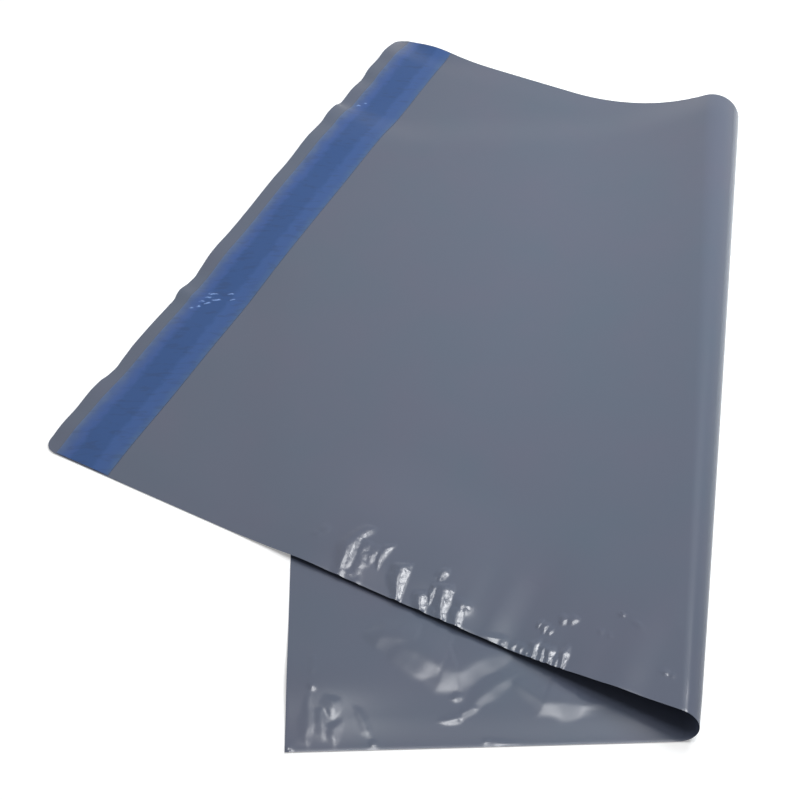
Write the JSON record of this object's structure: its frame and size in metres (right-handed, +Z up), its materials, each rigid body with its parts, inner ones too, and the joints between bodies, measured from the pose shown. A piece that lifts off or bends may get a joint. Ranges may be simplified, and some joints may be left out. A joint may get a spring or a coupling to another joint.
{
  "type": "poly mailer bag",
  "caption": "Empty grey film mailing bag, folded over in an open loop, with a peel-off liner over the adhesive band on its lip.",
  "frame": {"origin": "on the floor under the middle of the folded bag's outline", "axes": "+X along the bag's length in its lower layer, from the bottom fold to the turned-over loop; +Y along the bottom fold, from the near side weld to the far one; +Z up"},
  "size_m": [0.3026, 0.3942, 0.0242],
  "materials": {
    "grey_film": "blown polyethylene film, satin gloss",
    "blue_liner": "silicone-coated release film, satin",
    "clear_adhesive": "hot-melt pressure-sensitive adhesive, glossy and clear"
  },
  "bodies": {
    "root": {"film_bag": "grey_film", "release_liner": "blue_liner", "adhesive_band": "clear_adhesive"}
  },
  "joints": []
}
